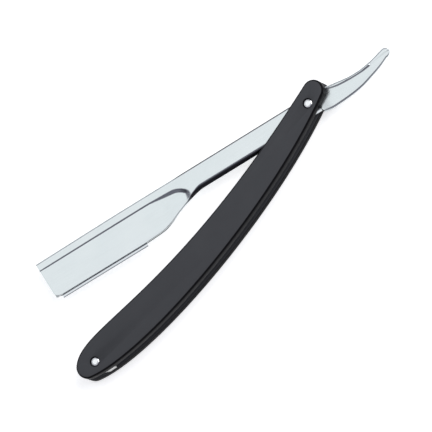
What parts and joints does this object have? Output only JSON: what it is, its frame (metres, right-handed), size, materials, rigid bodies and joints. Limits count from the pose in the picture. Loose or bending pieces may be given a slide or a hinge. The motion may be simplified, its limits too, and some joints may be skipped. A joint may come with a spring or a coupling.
{
  "type": "straight razor",
  "caption": "Folding straight razor: curved plastic handle, folded steel arm with a curved tail, and a slide-out clip that holds a replaceable half blade.",
  "frame": {"origin": "under the middle of the razor's box, on the surface that the rear scale lies on", "axes": "+X along the handle from the butt rivet to the pivot, +Y towards the side that the arm folds in from, +Z out of the front scale"},
  "size_m": [0.1644, 0.056, 0.0092],
  "materials": {
    "scale_plastic": "satin black, fine moulded texture",
    "spacer_plastic": "smooth off-white",
    "rivet_steel": "polished",
    "washer_brass": "plain turned",
    "holder_steel": "polished stainless sheet with fine lengthwise lines",
    "clip_steel": "plain spring steel",
    "blade_steel": "bright, with a ground bevel"
  },
  "bodies": {
    "handle": {"front_scale": "scale_plastic", "rear_scale": "scale_plastic", "butt_spacer": "spacer_plastic", "butt_pin": "rivet_steel", "butt_collar_front": "rivet_steel", "butt_collar_rear": "rivet_steel", "pivot_pin": "rivet_steel", "pivot_collar_front": "rivet_steel", "pivot_collar_rear": "rivet_steel", "pivot_washer_front": "washer_brass", "pivot_washer_rear": "washer_brass"},
    "arm": {"blade_holder": "holder_steel", "pivot_bush": "washer_brass"},
    "insert": {"blade_clip": "clip_steel", "half_blade": "blade_steel", "clip_stud_heel": "clip_steel", "clip_stud_toe": "clip_steel"}
  },
  "joints": [
    {"name": "arm_pivot", "type": "hinge", "parent": "handle", "child": "arm", "pos_m": [0.04841, -0.0167, 0.0046], "axis": [0, 0, -1], "range_deg": [-16, 250]},
    {"name": "clip_slide", "type": "slide", "parent": "arm", "child": "insert", "axis": [-0.9397, 0.342, 0], "range_m": [0, 0.06]}
  ]
}
